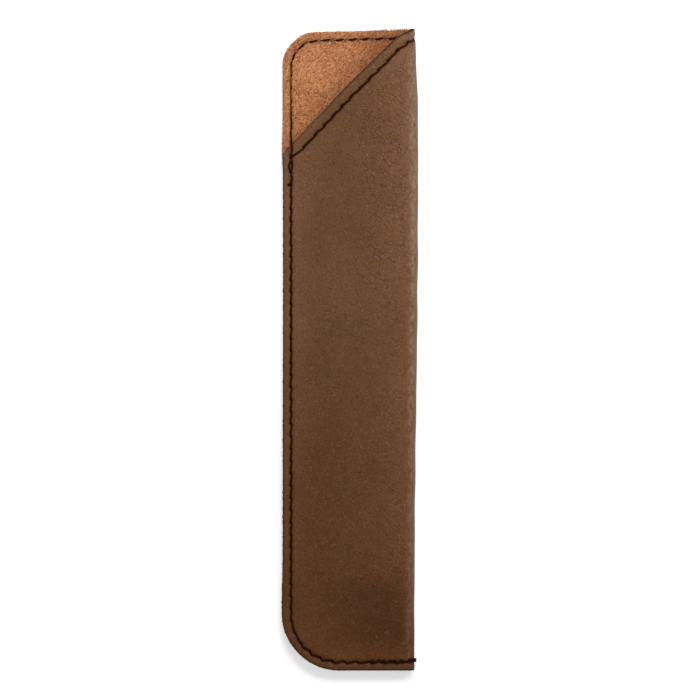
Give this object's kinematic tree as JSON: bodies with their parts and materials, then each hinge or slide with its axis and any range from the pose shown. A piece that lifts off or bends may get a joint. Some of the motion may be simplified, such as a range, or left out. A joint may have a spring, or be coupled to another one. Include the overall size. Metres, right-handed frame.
{
  "type": "single pen sleeve",
  "caption": "Slim soft sleeve that holds one pen: a folded leatherette cover with a suede lining, a slanted open mouth and a sewn side and bottom.",
  "frame": {"origin": "middle of the sleeve's length and width, on the flat outer face of the back panel", "axes": "+X points to the fold, +Y to the slanted mouth, +Z out of the front panel"},
  "size_m": [0.0336, 0.159, 0.0103],
  "materials": {
    "leatherette": "satin",
    "suede": "matte",
    "thread": "satin"
  },
  "bodies": {
    "root": {"cover": "leatherette", "lining": "suede", "hem_needle_thread": "thread", "hem_bobbin_thread": "thread", "seam_needle_thread": "thread", "seam_bobbin_thread": "thread"}
  },
  "joints": []
}
